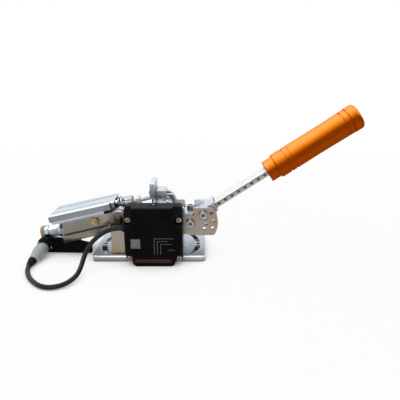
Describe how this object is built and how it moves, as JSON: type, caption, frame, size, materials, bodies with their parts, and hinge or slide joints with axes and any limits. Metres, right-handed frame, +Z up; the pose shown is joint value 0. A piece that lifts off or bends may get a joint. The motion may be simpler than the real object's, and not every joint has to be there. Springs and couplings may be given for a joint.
{
  "type": "sim racing handbrake",
  "caption": "Pull lever on a bolted frame that pushes a sprung cylinder with a pressure sensor, with an electronics box on its side and a cable",
  "frame": {"origin": "centre of the base plate's underside", "axes": "+X towards the grip, +Y away from the electronics box, +Z up"},
  "size_m": [0.4348, 0.161, 0.2001],
  "materials": {
    "machined_aluminium": "fine machined, satin",
    "polished_plate": "polished, fine horizontal brushing",
    "cylinder_silver": "satin anodised",
    "steel": "turned and milled",
    "bolt_chrome": "bright plated",
    "dark_screw": "black oxide, satin",
    "spring_chrome": "bright wound wire",
    "brass_fitting": "turned, satin",
    "tan_plastic": "moulded, satin",
    "box_black": "black anodised, satin",
    "orange_anodised": "bead blasted and anodised",
    "plug_grey": "moulded, satin",
    "black_plastic": "moulded, fine grain",
    "rubber_black": "smooth",
    "bronze_bush": "sintered, oiled",
    "board_green": "lacquered",
    "light_lens": "clear, glossy"
  },
  "bodies": {
    "frame": {"base_plate": "machined_aluminium", "side_plate_front": "polished_plate", "side_plate_rear": "polished_plate", "side_plate_screws": "dark_screw", "frame_spacer": "steel", "stop_bar": "steel", "stop_sleeve": "rubber_black", "frame_bar_screws": "dark_screw", "pivot_bolt": "steel", "pivot_washers": "bronze_bush", "cylinder_arm_front": "polished_plate", "cylinder_arm_rear": "polished_plate", "cylinder_body": "cylinder_silver", "cylinder_packers": "steel", "cylinder_end_cap": "cylinder_silver", "end_cap_screws": "bolt_chrome", "gallery_block": "machined_aluminium", "gallery_spacer": "machined_aluminium", "bleed_screw": "brass_fitting", "pressure_sensor": "bolt_chrome", "sensor_end_ring": "tan_plastic", "arm_bolts": "dark_screw", "cylinder_mount_screws": "dark_screw", "return_spring": "spring_chrome", "box_housing": "box_black", "box_cover": "box_black", "box_cover_screws": "bolt_chrome", "circuit_board": "board_green", "usb_socket": "steel", "status_light": "light_lens", "cable_gland": "black_plastic", "box_mount_screws": "dark_screw", "connector_bracket": "box_black", "sensor_socket": "black_plastic", "bracket_screws": "bolt_chrome", "sensor_plug": "plug_grey", "plug_ring": "black_plastic", "sensor_cable": "rubber_black"},
    "lever": {"rocker_block": "machined_aluminium", "fork_plate": "polished_plate", "fork_plate_screws": "dark_screw", "cheek_front": "polished_plate", "cheek_rear": "polished_plate", "lever_holder": "machined_aluminium", "holder_clamp_screw": "steel", "lever_bar": "polished_plate", "cheek_bolts": "bolt_chrome", "cheek_nuts": "bolt_chrome", "rocker_screws": "dark_screw", "rod_pin": "steel", "pivot_bushes": "bronze_bush", "grip": "orange_anodised", "grip_end_cap": "orange_anodised"},
    "piston_rod": {"piston": "steel", "piston_seals": "rubber_black", "push_rod": "bolt_chrome", "spring_seat": "steel", "rod_lock_nut": "bolt_chrome", "rod_end": "bolt_chrome"}
  },
  "joints": [
    {"name": "lever_pivot", "type": "hinge", "parent": "frame", "child": "lever", "pos_m": [0.0164, 0, 0.0613], "axis": [0, -1, 0], "range_deg": [0, 16], "stiffness_Nm_per_rad": 12, "springref_deg": -8.59},
    {"name": "rod_slide", "type": "slide", "parent": "frame", "child": "piston_rod", "axis": [-0.9744, 0, -0.225], "range_m": [0, 0.0054], "deforming": ["return_spring"]}
  ],
  "couplings": [
    {"joint": "rod_slide", "follows": "lever_pivot", "m_per_rad": 0.018939}
  ]
}
